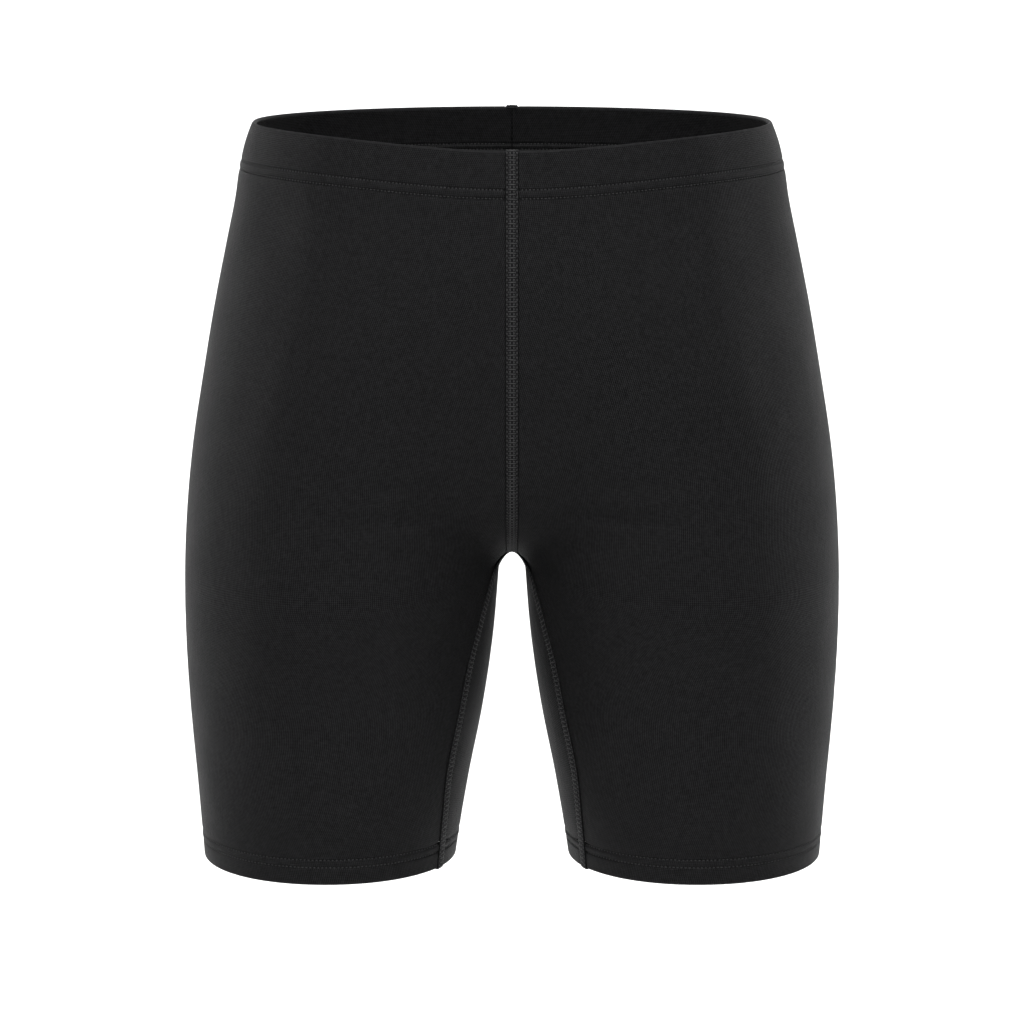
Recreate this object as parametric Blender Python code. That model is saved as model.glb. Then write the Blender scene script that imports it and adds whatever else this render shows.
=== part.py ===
"""Cycling shorts, filled out as when worn, with nobody in them.

Each leg is one knitted panel that wraps round it with no side seam. A raised
flat seam joins the two panels round the rise, and another closes each leg on
its inside. The top of each panel is turned down over a flat elastic as a
waistband, and its foot is turned up as a hem.

Metres, +Z up, +X to the wearer's left, -Y to the front. The origin is the
middle of the waist opening, half way down the waistband. Heights are given in
the tables as drops, measured down from the level of the sides of the waist.
"""

import math
from collections import namedtuple

import bmesh
import bpy
import numpy as np

# Cloth
CLOTH_THICKNESS = 0.0015
BAND_THICKNESS = 0.0028
HEM_THICKNESS = 0.0024
FOLD_ROUNDING = 0.0009
FOLD_THINNING = 0.4
SEAM_GAP = 0.0003
SEAM_WIDTH = 0.0070
SEAM_THICKNESS = 0.0008
SEAM_LIFT = 0.0005

# Finish, from the photograph
KNIT_GREY = 0.012
KNIT_ROUGHNESS = 0.75
THREAD_GREY = 0.014
THREAD_ROUGHNESS = 0.6

# Depths of the turned edges
BAND_DEPTH = 0.027
HEM_DEPTH = 0.0155

# Drop of the waist edge at the back, the sides and the front
WAIST_EDGE_BACK = -0.0012
WAIST_EDGE_SIDE = 0.0
WAIST_EDGE_FRONT = 0.0097
FRONT_DIP_POWER = 1.2

# The hem lies in one plane, lower at the front
HEM_DROP = 0.4284
HEM_TILT = math.radians(2.0)

# Level sections of the left half. Ridge is how far out the front of the thigh
# is fullest, outer the half width, gap half the space between the legs, front
# and back the depths at the ridge, and fullness the power of the round.
Section = namedtuple("Section", "drop ridge outer gap front back fullness")
SECTIONS = (
    Section(-0.010, 0.000, 0.1445, 0.0000, 0.1010, 0.1000, 2.35),
    Section(0.000, 0.000, 0.1484, 0.0000, 0.1025, 0.1025, 2.35),
    Section(0.010, 0.000, 0.1522, 0.0000, 0.1038, 0.1048, 2.35),
    Section(0.028, 0.000, 0.1564, 0.0000, 0.1060, 0.1085, 2.33),
    Section(0.043, 0.000, 0.1586, 0.0000, 0.1078, 0.1112, 2.31),
    Section(0.068, 0.012, 0.1637, 0.0000, 0.1105, 0.1160, 2.28),
    Section(0.103, 0.035, 0.1707, 0.0000, 0.1130, 0.1228, 2.25),
    Section(0.143, 0.061, 0.1776, 0.0000, 0.1130, 0.1262, 2.22),
    Section(0.183, 0.081, 0.1839, 0.0020, 0.1088, 0.1235, 2.18),
    Section(0.223, 0.093, 0.1880, 0.0055, 0.1045, 0.1145, 2.14),
    Section(0.260, 0.0985, 0.1897, 0.0077, 0.1010, 0.1050, 2.10),
    Section(0.298, 0.101, 0.1894, 0.0109, 0.0962, 0.0975, 2.08),
    Section(0.338, 0.1025, 0.1873, 0.0167, 0.0905, 0.0905, 2.06),
    Section(0.383, 0.1043, 0.1835, 0.0256, 0.0838, 0.0835, 2.05),
    Section(0.434, 0.1062, 0.1795, 0.0338, 0.0778, 0.0775, 2.05),
)

# The rise in side view, from the front of the waist under to the back
Rise = namedtuple("Rise", "depth drop")
RISE = (
    Rise(-0.1010, -0.010),
    Rise(-0.1078, 0.043),
    Rise(-0.1125, 0.103),
    Rise(-0.1088, 0.145),
    Rise(-0.0950, 0.189),
    Rise(-0.0700, 0.2228),
    Rise(-0.0390, 0.2416),
    Rise(-0.0080, 0.2465),
    Rise(0.0250, 0.2416),
    Rise(0.0600, 0.2228),
    Rise(0.0900, 0.1930),
    Rise(0.1120, 0.1530),
    Rise(0.1210, 0.1030),
    Rise(0.1112, 0.0430),
    Rise(0.1000, -0.010),
)
CROTCH_BLEND = 0.014
VALLEY_BLEND = 0.9

# The inside leg seam: how far forward of the crotch it lies, by its depth below
Inseam = namedtuple("Inseam", "below forward")
INSEAM = (
    Inseam(0.000, 0.000),
    Inseam(0.010, 0.020),
    Inseam(0.025, 0.031),
    Inseam(0.052, 0.041),
    Inseam(0.088, 0.0425),
    Inseam(0.120, 0.041),
    Inseam(0.150, 0.036),
    Inseam(0.190, 0.030),
)

# Soft creases pressed into each leg: where the middle of each lies, half its
# length and half its width, how deep it is, and how much it leans down outwards
Crease = namedtuple("Crease", "face out drop reach spread depth lean")
FRONT, BACK = -1, 1
CREASES = (
    Crease(FRONT, 0.066, 0.1985, 0.029, 0.0060, 0.0009, -0.05),
    Crease(FRONT, 0.064, 0.2175, 0.034, 0.0062, 0.0014, 0.03),
    Crease(BACK, 0.074, 0.2260, 0.040, 0.0085, 0.0013, -0.16),
    Crease(BACK, 0.088, 0.2500, 0.033, 0.0075, 0.0008, -0.10),
)

# Grid of each panel
RISE_ROWS = 24
LEG_ROWS = 16
INSEAM_FIRST_ROW = 4
RISE_ROW_POWER = 1.2
LEG_ROW_POWER = 1.7
EDGE_COLUMNS = (0.0, SEAM_WIDTH / 2, 0.008, 0.014)
EVEN_COLUMNS = 22
BAND_ROWS = 3
HEM_ROWS = 2

# Steps of the working out
RISE_SAMPLES = 160
INSEAM_SAMPLES = 80
GUIDE_COLUMNS = 48
RELAX_ROUNDS = 40
RELAX_STEPS = 5
PROBE = 0.0002
SMALLEST = 1e-6


def smooth(keys, values, where):
    """A cubic through the points, each slope taken from its neighbours."""
    keys = np.asarray(keys, float)
    values = np.asarray(values, float)
    where = np.clip(where, keys[0], keys[-1])
    slopes = np.gradient(values, keys, edge_order=2)
    i = np.clip(np.searchsorted(keys, where) - 1, 0, len(keys) - 2)
    step = keys[i + 1] - keys[i]
    t = (where - keys[i]) / step
    return (
        (1 + 2 * t) * (1 - t) ** 2 * values[i]
        + t * (1 - t) ** 2 * step * slopes[i]
        + t**2 * (3 - 2 * t) * values[i + 1]
        + t**2 * (t - 1) * step * slopes[i + 1]
    )


def section_at(drop):
    """Every column of the level sections, at these drops."""
    keys = [row.drop for row in SECTIONS]
    found = Section(*(smooth(keys, column, drop) for column in zip(*SECTIONS)))
    return found._replace(ridge=np.maximum(found.ridge, 0))


def lengths(points):
    """How far along a line each of its points is."""
    return np.concatenate([[0], np.cumsum(np.linalg.norm(np.diff(points, axis=0), axis=1))])


def rise_curve():
    """Points (depth, drop) close together along the rise."""
    table = np.array(RISE)
    at = lengths(table)
    where = np.linspace(0, at[-1], RISE_SAMPLES)
    return np.column_stack([smooth(at, column, where) for column in table.T])


RISE_CURVE = rise_curve()
LOWEST = int(np.argmax(RISE_CURVE[:, 1]))


def centre_depth(y, drop):
    """How deep the rise is at this drop, in front or behind. It is 0 under the crotch."""
    front, back = RISE_CURVE[: LOWEST + 1], RISE_CURVE[LOWEST:][::-1]
    ahead = np.interp(drop, front[:, 1], -front[:, 0], right=0)
    behind = np.interp(drop, back[:, 1], back[:, 0], right=0)
    return np.where(y < 0, ahead, behind)


def rise_distance(y, drop):
    """Distance from the rise curve in side view, above 0 outside the garment."""
    start, end = RISE_CURVE[:-1], RISE_CURVE[1:]
    run = end - start
    points = np.stack([y, drop], axis=-1)[..., None, :]
    share = ((points - start) * run).sum(-1) / (run**2).sum(-1)
    offset = points - (start + np.clip(share, 0, 1)[..., None] * run)
    away = np.linalg.norm(offset, axis=-1)
    nearest = away.argmin(-1)[..., None]
    turn = run[:, 0] * offset[..., 1] - run[:, 1] * offset[..., 0]
    side = np.sign(np.take_along_axis(turn, nearest, -1))
    return (np.take_along_axis(away, nearest, -1) * side)[..., 0]


def creasing(x, y, drop):
    """How far the creases press the cloth in."""
    total = np.zeros_like(x)
    for c in CREASES:
        from_middle = x - c.out
        from_line = drop - c.drop - c.lean * from_middle
        pressed = c.depth * np.exp(-((from_middle / c.reach) ** 2) - (from_line / c.spread) ** 2)
        total += np.where(y * c.face > 0, pressed, 0)
    return total


def form(points):
    """Distance outside the worn shape of the left half, at points (x, y, drop)."""
    x, y, drop = points[..., 0], points[..., 1], points[..., 2]
    s = section_at(drop)
    across = x - s.ridge
    inner = np.maximum(s.ridge - s.gap, SMALLEST)
    reach = np.where(across > 0, s.outer - s.ridge, inner)
    depth = np.where(y < 0, s.front, s.back)
    size = (np.abs(across) / reach) ** s.fullness + (np.abs(y) / depth) ** s.fullness
    from_axis = np.hypot(across, y)
    leg = from_axis * (1 - size ** (-1 / s.fullness))
    rise = rise_distance(y, drop)
    valley = np.maximum(depth - centre_depth(y, drop), SMALLEST)
    width = np.minimum(CROTCH_BLEND, VALLEY_BLEND * valley)
    near = np.maximum(width - np.abs(leg - rise), 0) / width
    joined = np.minimum(leg, rise) - near**2 * width / 4
    return np.where(across > 0, leg, joined) + creasing(x, y, drop)


def slope(points):
    """Which way the form grows fastest, not made to length 1."""
    steps = PROBE * np.eye(3)
    return np.stack([(form(points + s) - form(points - s)) / (2 * PROBE) for s in steps], axis=-1)


def normals(points):
    away = slope(points)
    return away / np.linalg.norm(away, axis=-1, keepdims=True)


def settle(points, rounds=3):
    """The points moved straight onto the form, kept clear of the middle."""
    for _ in range(rounds):
        away = slope(points)
        points = points - form(points)[..., None] * away / (away**2).sum(-1, keepdims=True)
        points[..., 0] = np.maximum(points[..., 0], SEAM_GAP / 2)
    return points


def between(inside, outside, rounds=30):
    """Where the form is crossed between points inside it and points outside."""
    for _ in range(rounds):
        middle = (inside + outside) / 2
        out = (form(middle) > 0)[..., None]
        outside = np.where(out, middle, outside)
        inside = np.where(out, inside, middle)
    return inside


def around(angle, drop):
    """Points on the form at an angle about the leg, from the front by the outside."""
    angle, drop = np.broadcast_arrays(angle, drop)
    ridge = section_at(drop).ridge
    start = np.stack([ridge, np.zeros_like(ridge), drop], axis=-1)
    aim = np.stack([np.sin(angle), -np.cos(angle), np.zeros_like(angle)], axis=-1)
    inward = np.maximum(-aim[..., 0], SMALLEST)
    far = np.minimum(0.3, np.where(aim[..., 0] < 0, (ridge - SEAM_GAP / 2) / inward, 0.3))
    return between(start + 0.01 * far[..., None] * aim, start + far[..., None] * aim)


def angle_of(points):
    """The angle about the leg at which the points lie, as around takes it."""
    return np.arctan2(points[..., 0] - section_at(points[..., 2]).ridge, -points[..., 1])


def waist_edge(angle):
    """Drop of the waist edge: level at the back and dipped at the front."""
    inset = 1 - np.sin(angle) ** 2
    front = WAIST_EDGE_FRONT - WAIST_EDGE_SIDE
    back = WAIST_EDGE_BACK - WAIST_EDGE_SIDE
    return WAIST_EDGE_SIDE + np.where(np.cos(angle) > 0, front * inset**FRONT_DIP_POWER, back * inset)


def hem_edge(angle, above=0.0):
    """Points that lie on the form at this distance above the plane of the hem."""
    drop = np.full(np.shape(angle), HEM_DROP - above)
    for _ in range(4):
        drop = HEM_DROP - above - math.tan(HEM_TILT) * around(angle, drop)[..., 1]
    return around(angle, drop)


def along(points, where):
    """Points at these distances along a line."""
    at = lengths(points)
    return np.column_stack([np.interp(where, at, column) for column in points.T])


def spread(count, power):
    """Numbers from 0 to 1 that start close together."""
    return np.linspace(0, 1, count + 1) ** power


def rise_edges():
    """The panel's front and back edges, each from the waist down to the crotch."""
    run = np.gradient(RISE_CURVE, axis=0)
    out = np.column_stack([-run[:, 1], run[:, 0]]) / np.linalg.norm(run, axis=1)[:, None]
    middle = np.full(RISE_SAMPLES, SEAM_GAP / 2)
    start = np.column_stack([middle, RISE_CURVE - 0.004 * out])
    end = np.column_stack([middle, RISE_CURVE + 0.010 * out])
    edge = between(start, end)
    lowest = int(np.argmax(edge[:, 2]))
    return edge[: lowest + 1], edge[lowest:][::-1]


def inseam_line(crotch):
    """Points down the inside leg seam, from the crotch to below the hem."""
    rows = np.array(INSEAM)
    below = rows[-1, 0] * spread(INSEAM_SAMPLES, 2)
    y = crotch[1] - smooth(rows[:, 0], rows[:, 1], below)
    drop = crotch[2] + below
    outside = np.column_stack([np.zeros_like(y), y, drop])
    inside = np.column_stack([section_at(drop).ridge, y, drop])
    return np.vstack([crotch, between(inside, outside)[1:]])


def panel_edges():
    """The panel's front and back edges, from under the waistband to the hem."""
    front, back = rise_edges()
    seam = inseam_line(front[-1])
    run = np.gradient(seam, axis=0)
    beside = np.cross(normals(seam), run)
    beside *= SEAM_GAP / 2 / np.linalg.norm(beside, axis=1)[:, None]
    if beside[-1, 1] > 0:
        beside = -beside
    edges = []
    for rise, leg in ((front, seam + beside), (back, seam - beside)):
        leg = settle(leg[1:])
        above_hem = HEM_DROP - HEM_DEPTH - SEAM_GAP / 2 - math.tan(HEM_TILT) * leg[:, 1]
        leg = leg[leg[:, 2] < above_hem]
        under_band = waist_edge(angle_of(rise[0])) + BAND_DEPTH + SEAM_GAP / 2
        rise = rise[rise[:, 2] > under_band]
        rise_at = (1 - spread(RISE_ROWS, RISE_ROW_POWER)[::-1]) * lengths(rise)[-1]
        leg = np.vstack([rise[-1], leg])
        leg_at = spread(LEG_ROWS, LEG_ROW_POWER)[1:] * lengths(leg)[-1]
        edges.append(np.vstack([along(rise, rise_at), along(leg, leg_at)]))
    return edges


def guide_grid():
    """A grid over the whole panel, its points spread by relaxing them."""
    front, back = panel_edges()
    across = np.linspace(0, 1, GUIDE_COLUMNS + 1)
    top_angle = math.pi * across
    top = around(top_angle, waist_edge(top_angle) + BAND_DEPTH + SEAM_GAP / 2)
    foot_angle = angle_of(front[-1]) + 2 * math.pi * across
    foot = hem_edge(foot_angle, HEM_DEPTH + SEAM_GAP / 2)
    front_angle = angle_of(front)
    back_angle = angle_of(back) % (2 * math.pi)
    angles = front_angle[:, None] + (back_angle - front_angle)[:, None] * across
    drops = front[:, 2:] + (back - front)[:, 2:] * across
    grid = around(angles, drops)
    grid[0], grid[-1] = top, foot
    grid[:, 0], grid[:, -1] = front, back
    for _ in range(RELAX_ROUNDS):
        for _ in range(RELAX_STEPS):
            grid[1:-1, 1:-1] = (
                grid[:-2, 1:-1] + grid[2:, 1:-1] + grid[1:-1, :-2] + grid[1:-1, 2:]
            ) / 4
        grid[1:-1, 1:-1] = settle(grid[1:-1, 1:-1], 1)
    return grid


def panel_grid():
    """The panel's points, with columns that keep their distance from the seams."""
    rows = []
    near = np.array(EDGE_COLUMNS)
    for row in guide_grid():
        full = lengths(row)[-1]
        middle = np.linspace(near[-1], full - near[-1], EVEN_COLUMNS + 1)[1:-1]
        where = np.concatenate([near, middle, full - near[::-1]])
        at = lengths(row)
        rows.append(np.column_stack([smooth(at, column, where) for column in row.T]))
    grid = np.array(rows)
    grid[:, 1:-1] = settle(grid[:, 1:-1])
    return grid


def fold_rows(depth, rows):
    """Distances from the folded edge to the last row, the first two close together."""
    last = depth - SEAM_GAP / 2
    return np.concatenate([[0], np.linspace(FOLD_ROUNDING, last, rows + 1)])


def band_grid(panel_top):
    """The waistband's points, from its folded top edge down."""
    angles = angle_of(panel_top)
    below = fold_rows(BAND_DEPTH, BAND_ROWS)
    grid = np.array([around(angles, waist_edge(angles) + d) for d in below])
    grid[0] -= FOLD_ROUNDING * normals(grid[0])
    grid[:, [0, -1], 0] = SEAM_GAP / 2
    return grid


def hem_grid(panel_foot):
    """The hem's points, down to its folded edge."""
    angles = angle_of(panel_foot)
    grid = np.array([hem_edge(angles, d) for d in fold_rows(HEM_DEPTH, HEM_ROWS)[::-1]])
    grid[-1] -= FOLD_ROUNDING * normals(grid[-1])
    return grid


def mirrored(points):
    return points * np.array([-1, 1, 1])


def as_drawn(points):
    return points


def over_cloth(points):
    """Points on the cloth moved out to a flat seam's outer face."""
    return points + (SEAM_LIFT + SEAM_THICKNESS) * normals(points)


def rise_seam_grid(edge_columns):
    """The outer face of the seam between the halves, over the edge of the left one."""
    outer = over_cloth(edge_columns)
    middle, beside = outer[:, 0], outer[:, 1]
    middle[:, 0] = 0
    return np.stack([beside, middle, mirrored(beside)], axis=1)


def inseam_grid(ahead, behind):
    """The outer face of an inside leg seam, over the two edges that meet there."""
    middle = (ahead[:, 0] + behind[:, 0]) / 2
    return over_cloth(np.stack([ahead[:, 1], middle, behind[:, 1]], axis=1))


def cloth_material(name, grey, roughness):
    """Matt black knit, with the small sheen of a nylon and elastane cloth."""
    material = bpy.data.materials.new(name)
    material.use_nodes = True
    shader = material.node_tree.nodes["Principled BSDF"]
    shader.inputs["Base Color"].default_value = (grey, grey, grey, 1)
    shader.inputs["Roughness"].default_value = roughness
    shader.inputs["Metallic"].default_value = 0.0
    return material


def add_sheet(name, points, material, thickness, facing, folded_row=None, lean=1):
    """A sheet over a grid of points (x, y, drop), made a wall by Solidify.

    Facing is -1 where the grid would face inwards. The wall thins towards its
    folded row. Lean says which way each four-sided cell is cut in two, so that
    a seam's faces lie level with those of the cloth under it.
    """
    rows, columns = points.shape[:2]
    places = points * np.array([1, 1, -1]) + np.array([0, 0, BAND_DEPTH / 2])
    shape = bmesh.new()
    corners = [[shape.verts.new(place) for place in row] for row in places]
    for i in range(rows - 1):
        for j in range(columns - 1):
            cell = [corners[i][j], corners[i + 1][j], corners[i + 1][j + 1], corners[i][j + 1]]
            if lean < 0:
                cell = cell[1:] + cell[:1]
            for half in (cell[:3], [cell[0], cell[2], cell[3]]):
                shape.faces.new(half[::facing])
    mesh = bpy.data.meshes.new(name)
    shape.to_mesh(mesh)
    shape.free()
    mesh.shade_smooth()
    mesh.materials.append(material)
    sheet = bpy.data.objects.new(name, mesh)
    bpy.context.scene.collection.objects.link(sheet)
    wall = sheet.modifiers.new("Wall", "SOLIDIFY")
    wall.thickness = thickness
    wall.offset = -1
    if folded_row is not None:
        full = sheet.vertex_groups.new(name="full thickness")
        first = folded_row % rows * columns
        on_fold = list(range(first, first + columns))
        full.add([i for i in range(rows * columns) if i not in on_fold], 1.0, "REPLACE")
        full.add(on_fold, FOLD_THINNING, "REPLACE")
        wall.vertex_group = full.name
    return sheet


def clear_scene():
    for old in list(bpy.data.objects):
        bpy.data.objects.remove(old)


def main():
    clear_scene()
    knit = cloth_material("black knit", KNIT_GREY, KNIT_ROUGHNESS)
    folded = cloth_material("black knit, turned edge", KNIT_GREY, KNIT_ROUGHNESS)
    thread = cloth_material("black seam thread", THREAD_GREY, THREAD_ROUGHNESS)

    panel = panel_grid()
    band = band_grid(panel[0])
    hem = hem_grid(panel[-1])
    cloth = np.vstack([band, panel, hem])
    crotch_row = len(band) + RISE_ROWS
    rise = cloth[1:crotch_row]
    leg = cloth[crotch_row + INSEAM_FIRST_ROW :]
    inseam = inseam_grid(leg[:, :2], leg[:, :-3:-1])

    for side, turn, facing in (("left", as_drawn, 1), ("right", mirrored, -1)):
        add_sheet(f"leg_panel_{side}", turn(panel), knit, CLOTH_THICKNESS, facing)
        add_sheet(f"waistband_{side}", turn(band), folded, BAND_THICKNESS, facing, folded_row=0)
        add_sheet(f"hem_{side}", turn(hem), folded, HEM_THICKNESS, facing, folded_row=-1)
        add_sheet(f"inseam_{side}", turn(inseam), thread, SEAM_THICKNESS, facing, lean=-1)
    for end, columns, facing in (("front", rise[:, :2], -1), ("back", rise[:, :-3:-1], 1)):
        strip = rise_seam_grid(columns)
        add_sheet(f"rise_seam_{end}", strip, thread, SEAM_THICKNESS, facing, lean=-1)


if __name__ == "__main__":
    main()
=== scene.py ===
"""Cycling shorts in plain black knit, filled out as when worn, with nobody in them.

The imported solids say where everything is. This script lays the cloth, the raised
flat seams and the sewing over them, and stands the shorts in a white studio.

Metres, +Z up, +X to the wearer's left, -Y to the front. Places on the cloth are
worked out as (across, depth, drop), the drop measured down from the sides of the
waist, and are turned to the frame's own axes as each piece is made.
"""

import math
from collections import namedtuple

import bpy
import mathutils
import numpy as np
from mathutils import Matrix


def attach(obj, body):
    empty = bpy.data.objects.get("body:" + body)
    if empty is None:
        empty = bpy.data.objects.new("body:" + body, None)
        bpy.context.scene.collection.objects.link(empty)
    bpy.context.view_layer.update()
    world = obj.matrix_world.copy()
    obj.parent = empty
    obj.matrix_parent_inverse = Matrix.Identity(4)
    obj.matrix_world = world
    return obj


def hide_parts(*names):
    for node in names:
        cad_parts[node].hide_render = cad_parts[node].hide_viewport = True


bl_info = {
    "name": "Cycling Shorts",
    "version": (1, 0, 0),
    "blender": (4, 5, 0),
    "location": "View3D > Sidebar > Shorts",
    "description": "Dresses a pair of cycling shorts in black knit, flat seams and sewing",
    "category": "Add Mesh",
}

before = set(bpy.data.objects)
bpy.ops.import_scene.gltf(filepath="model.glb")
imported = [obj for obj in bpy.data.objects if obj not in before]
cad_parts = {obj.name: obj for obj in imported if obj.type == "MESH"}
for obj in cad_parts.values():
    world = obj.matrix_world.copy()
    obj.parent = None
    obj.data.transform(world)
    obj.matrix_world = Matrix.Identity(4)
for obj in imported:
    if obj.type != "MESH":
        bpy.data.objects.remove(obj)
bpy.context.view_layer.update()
MM = 0.001
LEFT, RIGHT = 1, -1
SIDES = (("left", LEFT), ("right", RIGHT))

# Form of the shorts, as in the solids

BAND_DEPTH = 0.027
HEM_DEPTH = 0.0155
SEAM_GAP = 0.0003
WAIST_EDGE_BACK = -0.0012
WAIST_EDGE_SIDE = 0.0
WAIST_EDGE_FRONT = 0.0097
FRONT_DIP_POWER = 1.2
HEM_DROP = 0.4284
HEM_TILT = math.radians(2.0)

# Level sections of the left half. Ridge is how far out the front of the thigh
# is fullest, outer the half width, gap half the space between the legs, front
# and back the depths at the ridge, and fullness the power of the round.
Section = namedtuple("Section", "drop ridge outer gap front back fullness")
SECTIONS = (
    Section(-0.010, 0.000, 0.1445, 0.0000, 0.1010, 0.1000, 2.35),
    Section(0.000, 0.000, 0.1484, 0.0000, 0.1025, 0.1025, 2.35),
    Section(0.010, 0.000, 0.1522, 0.0000, 0.1038, 0.1048, 2.35),
    Section(0.028, 0.000, 0.1564, 0.0000, 0.1060, 0.1085, 2.33),
    Section(0.043, 0.000, 0.1586, 0.0000, 0.1078, 0.1112, 2.31),
    Section(0.068, 0.012, 0.1637, 0.0000, 0.1105, 0.1160, 2.28),
    Section(0.103, 0.035, 0.1707, 0.0000, 0.1130, 0.1228, 2.25),
    Section(0.143, 0.061, 0.1776, 0.0000, 0.1130, 0.1262, 2.22),
    Section(0.183, 0.081, 0.1839, 0.0020, 0.1088, 0.1235, 2.18),
    Section(0.223, 0.093, 0.1880, 0.0055, 0.1045, 0.1145, 2.14),
    Section(0.260, 0.0985, 0.1897, 0.0077, 0.1010, 0.1050, 2.10),
    Section(0.298, 0.101, 0.1894, 0.0109, 0.0962, 0.0975, 2.08),
    Section(0.338, 0.1025, 0.1873, 0.0167, 0.0905, 0.0905, 2.06),
    Section(0.383, 0.1043, 0.1835, 0.0256, 0.0838, 0.0835, 2.05),
    Section(0.434, 0.1062, 0.1795, 0.0338, 0.0778, 0.0775, 2.05),
)

# The rise in side view, from the front of the waist under to the back
Rise = namedtuple("Rise", "depth drop")
RISE = (
    Rise(-0.1010, -0.010),
    Rise(-0.1078, 0.043),
    Rise(-0.1125, 0.103),
    Rise(-0.1088, 0.145),
    Rise(-0.0950, 0.189),
    Rise(-0.0700, 0.2228),
    Rise(-0.0390, 0.2416),
    Rise(-0.0080, 0.2465),
    Rise(0.0250, 0.2416),
    Rise(0.0600, 0.2228),
    Rise(0.0900, 0.1930),
    Rise(0.1120, 0.1530),
    Rise(0.1210, 0.1030),
    Rise(0.1112, 0.0430),
    Rise(0.1000, -0.010),
)
CROTCH_BLEND = 0.014
VALLEY_BLEND = 0.9

# The inside leg seam: how far forward of the crotch it lies, by its depth below
Inseam = namedtuple("Inseam", "below forward")
INSEAM = (
    Inseam(0.000, 0.000),
    Inseam(0.010, 0.020),
    Inseam(0.025, 0.031),
    Inseam(0.052, 0.041),
    Inseam(0.088, 0.0425),
    Inseam(0.120, 0.041),
    Inseam(0.150, 0.036),
    Inseam(0.190, 0.030),
)

# The main creases, alike on both legs: where the middle of each lies, half its
# length and half its width, how deep it is, and how much it leans down outwards
FRONT, BACK = -1, 1
Crease = namedtuple("Crease", "face out drop reach spread depth lean")
CREASES = (
    Crease(FRONT, 0.066, 0.1985, 0.029, 0.0060, 0.0009, -0.05),
    Crease(FRONT, 0.064, 0.2175, 0.034, 0.0062, 0.0014, 0.03),
    Crease(BACK, 0.074, 0.2260, 0.040, 0.0085, 0.0013, -0.16),
    Crease(BACK, 0.088, 0.2500, 0.033, 0.0075, 0.0008, -0.10),
)

# Softer hollows and rises of the worn cloth, uneven from leg to leg. A depth
# below 0 stands out. The leg is LEFT or RIGHT.
Hollow = namedtuple("Hollow", "leg face out drop reach spread depth lean")
HOLLOWS = (
    Hollow(RIGHT, FRONT, 0.062, 0.040, 0.014, 0.016, 0.00040, 0.10),
    Hollow(LEFT, FRONT, 0.063, 0.041, 0.013, 0.017, 0.00036, -0.06),
    Hollow(RIGHT, FRONT, 0.131, 0.058, 0.012, 0.020, 0.00045, 0.30),
    Hollow(LEFT, FRONT, 0.132, 0.060, 0.013, 0.018, 0.00042, 0.24),
    Hollow(RIGHT, FRONT, 0.036, 0.116, 0.012, 0.022, 0.00045, 0.50),
    Hollow(LEFT, FRONT, 0.034, 0.117, 0.012, 0.021, 0.00045, 0.46),
    Hollow(RIGHT, FRONT, 0.064, 0.2180, 0.032, 0.0055, 0.00080, 0.05),
    Hollow(LEFT, FRONT, 0.062, 0.2172, 0.034, 0.0052, 0.00085, 0.02),
    Hollow(RIGHT, FRONT, 0.067, 0.1985, 0.026, 0.0055, 0.00050, -0.07),
    Hollow(LEFT, FRONT, 0.065, 0.1978, 0.028, 0.0050, 0.00045, -0.04),
    Hollow(RIGHT, FRONT, 0.070, 0.2075, 0.030, 0.0050, -0.00035, -0.02),
    Hollow(LEFT, FRONT, 0.068, 0.2080, 0.031, 0.0050, -0.00035, 0.01),
    Hollow(RIGHT, FRONT, 0.050, 0.2360, 0.026, 0.0065, 0.00050, 0.10),
    Hollow(LEFT, FRONT, 0.052, 0.2350, 0.024, 0.0065, 0.00046, 0.13),
    Hollow(RIGHT, FRONT, 0.150, 0.262, 0.020, 0.030, 0.00050, 0.40),
    Hollow(LEFT, FRONT, 0.151, 0.250, 0.019, 0.034, 0.00045, 0.34),
    Hollow(RIGHT, BACK, 0.052, 0.052, 0.026, 0.012, 0.00060, 0.06),
    Hollow(LEFT, BACK, 0.049, 0.056, 0.024, 0.013, 0.00055, -0.04),
    Hollow(RIGHT, BACK, 0.086, 0.2020, 0.034, 0.0075, 0.00070, -0.20),
    Hollow(LEFT, BACK, 0.082, 0.2050, 0.036, 0.0075, 0.00075, -0.16),
    Hollow(RIGHT, BACK, 0.104, 0.2760, 0.030, 0.0095, 0.00055, -0.08),
    Hollow(LEFT, BACK, 0.099, 0.2800, 0.033, 0.0090, 0.00050, -0.05),
    Hollow(RIGHT, BACK, 0.140, 0.240, 0.024, 0.020, 0.00050, 0.25),
    Hollow(LEFT, BACK, 0.142, 0.252, 0.022, 0.022, 0.00050, 0.30),
    Hollow(RIGHT, BACK, 0.112, 0.350, 0.040, 0.016, 0.00040, 0.04),
    Hollow(LEFT, BACK, 0.108, 0.342, 0.042, 0.017, 0.00040, 0.02),
)

# Grid of the cloth: distances from a seam of the columns beside it, rows of
# the waistband below its folded edge and of the hem above its own
NEAR_SEAM = (0.0, 0.9, 1.8, 2.7, 3.3, 3.7, 4.1, 4.6, 5.4, 7.0, 9.5, 13.0)
EVEN_COLUMNS = 74
BAND_ROWS = (2.2, 3.5, 5.5, 8, 11, 14, 17, 19.2, 20.3, 20.8, 21.2, 21.6, 22, 22.4, 22.9)
BAND_ROWS += (23.5, 24.1, 24.7, 25.2, 25.7, 26.1, 26.5, 26.85)
HEM_ROWS = (2.0, 3.2, 5.0, 7.0, 8.8, 9.5, 9.9, 10.2, 10.5, 10.8, 11.1, 11.5, 12.1)
HEM_ROWS += (12.8, 13.4, 13.9, 14.3, 14.6, 15.0, 15.35)
RISE_ROWS = 24
LEG_ROWS = 16
ROWS_BETWEEN = 4
RISE_ROW_POWER = 1.2
LEG_ROW_POWER = 1.7
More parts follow.
